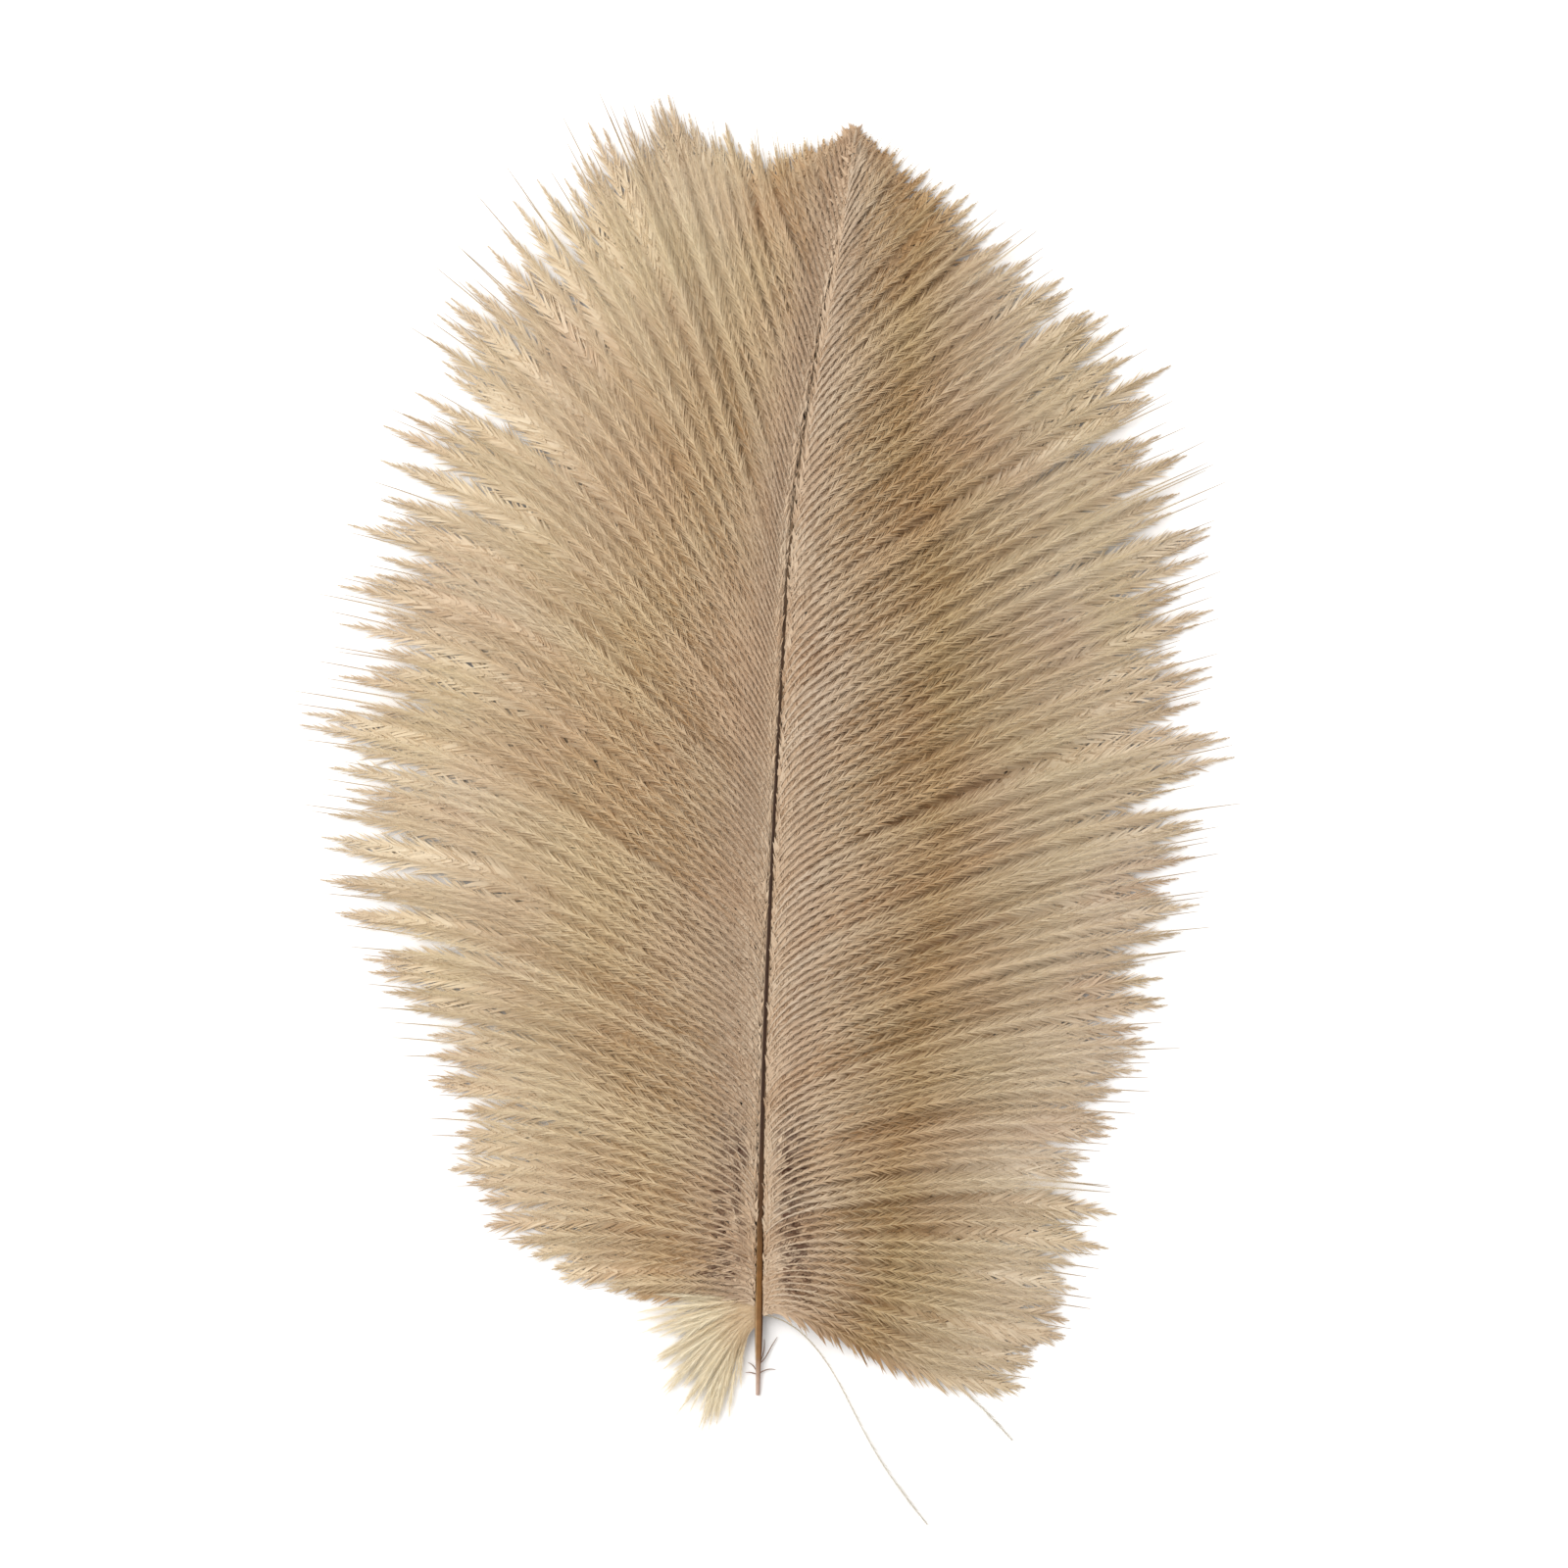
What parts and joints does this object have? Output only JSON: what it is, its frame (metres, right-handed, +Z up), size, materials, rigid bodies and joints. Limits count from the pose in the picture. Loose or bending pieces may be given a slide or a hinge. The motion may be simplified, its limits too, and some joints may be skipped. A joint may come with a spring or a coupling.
{
  "type": "ostrich feather",
  "caption": "Soft curled ostrich plume lying flat: a slim quill, loose combed vanes parted in pointed locks, and a tuft of pale down at the foot.",
  "frame": {"origin": "on the surface that the feather lies on, under the middle of its box", "axes": "+Y along the feather towards its tip, +X to the right as seen from above, +Z up from the surface"},
  "size_m": [0.1266, 0.2018, 0.0074],
  "materials": {
    "horn": "satin",
    "barbs": "matte",
    "down": "matte"
  },
  "bodies": {
    "root": {"quill": "horn", "left_vane": "barbs", "right_vane": "barbs", "down_tuft": "down"}
  },
  "joints": []
}
